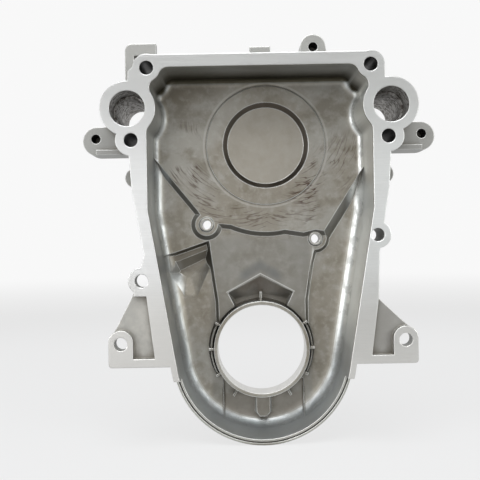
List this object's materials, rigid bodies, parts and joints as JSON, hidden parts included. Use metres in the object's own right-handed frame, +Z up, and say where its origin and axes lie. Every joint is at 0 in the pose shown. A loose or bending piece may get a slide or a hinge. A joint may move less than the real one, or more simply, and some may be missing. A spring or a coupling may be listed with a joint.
{
  "type": "engine timing cover",
  "caption": "Deep cast front cover for a pushrod V engine: flat rail, open chain chamber, crankshaft seal bore, two corner coolant ports, lower ears and side lugs.",
  "frame": {"origin": "on the crankshaft axis, at the inner end of the seal bore", "axes": "+Z up along the engine's middle line, +Y forwards along the crankshaft and away from the block, +X across the engine, to the right as seen from the block looking forwards"},
  "size_m": [0.2569, 0.068, 0.2972],
  "materials": {
    "casting": "as-cast satin with machined faces"
  },
  "bodies": {
    "root": {"timing_cover": "casting"}
  },
  "joints": []
}
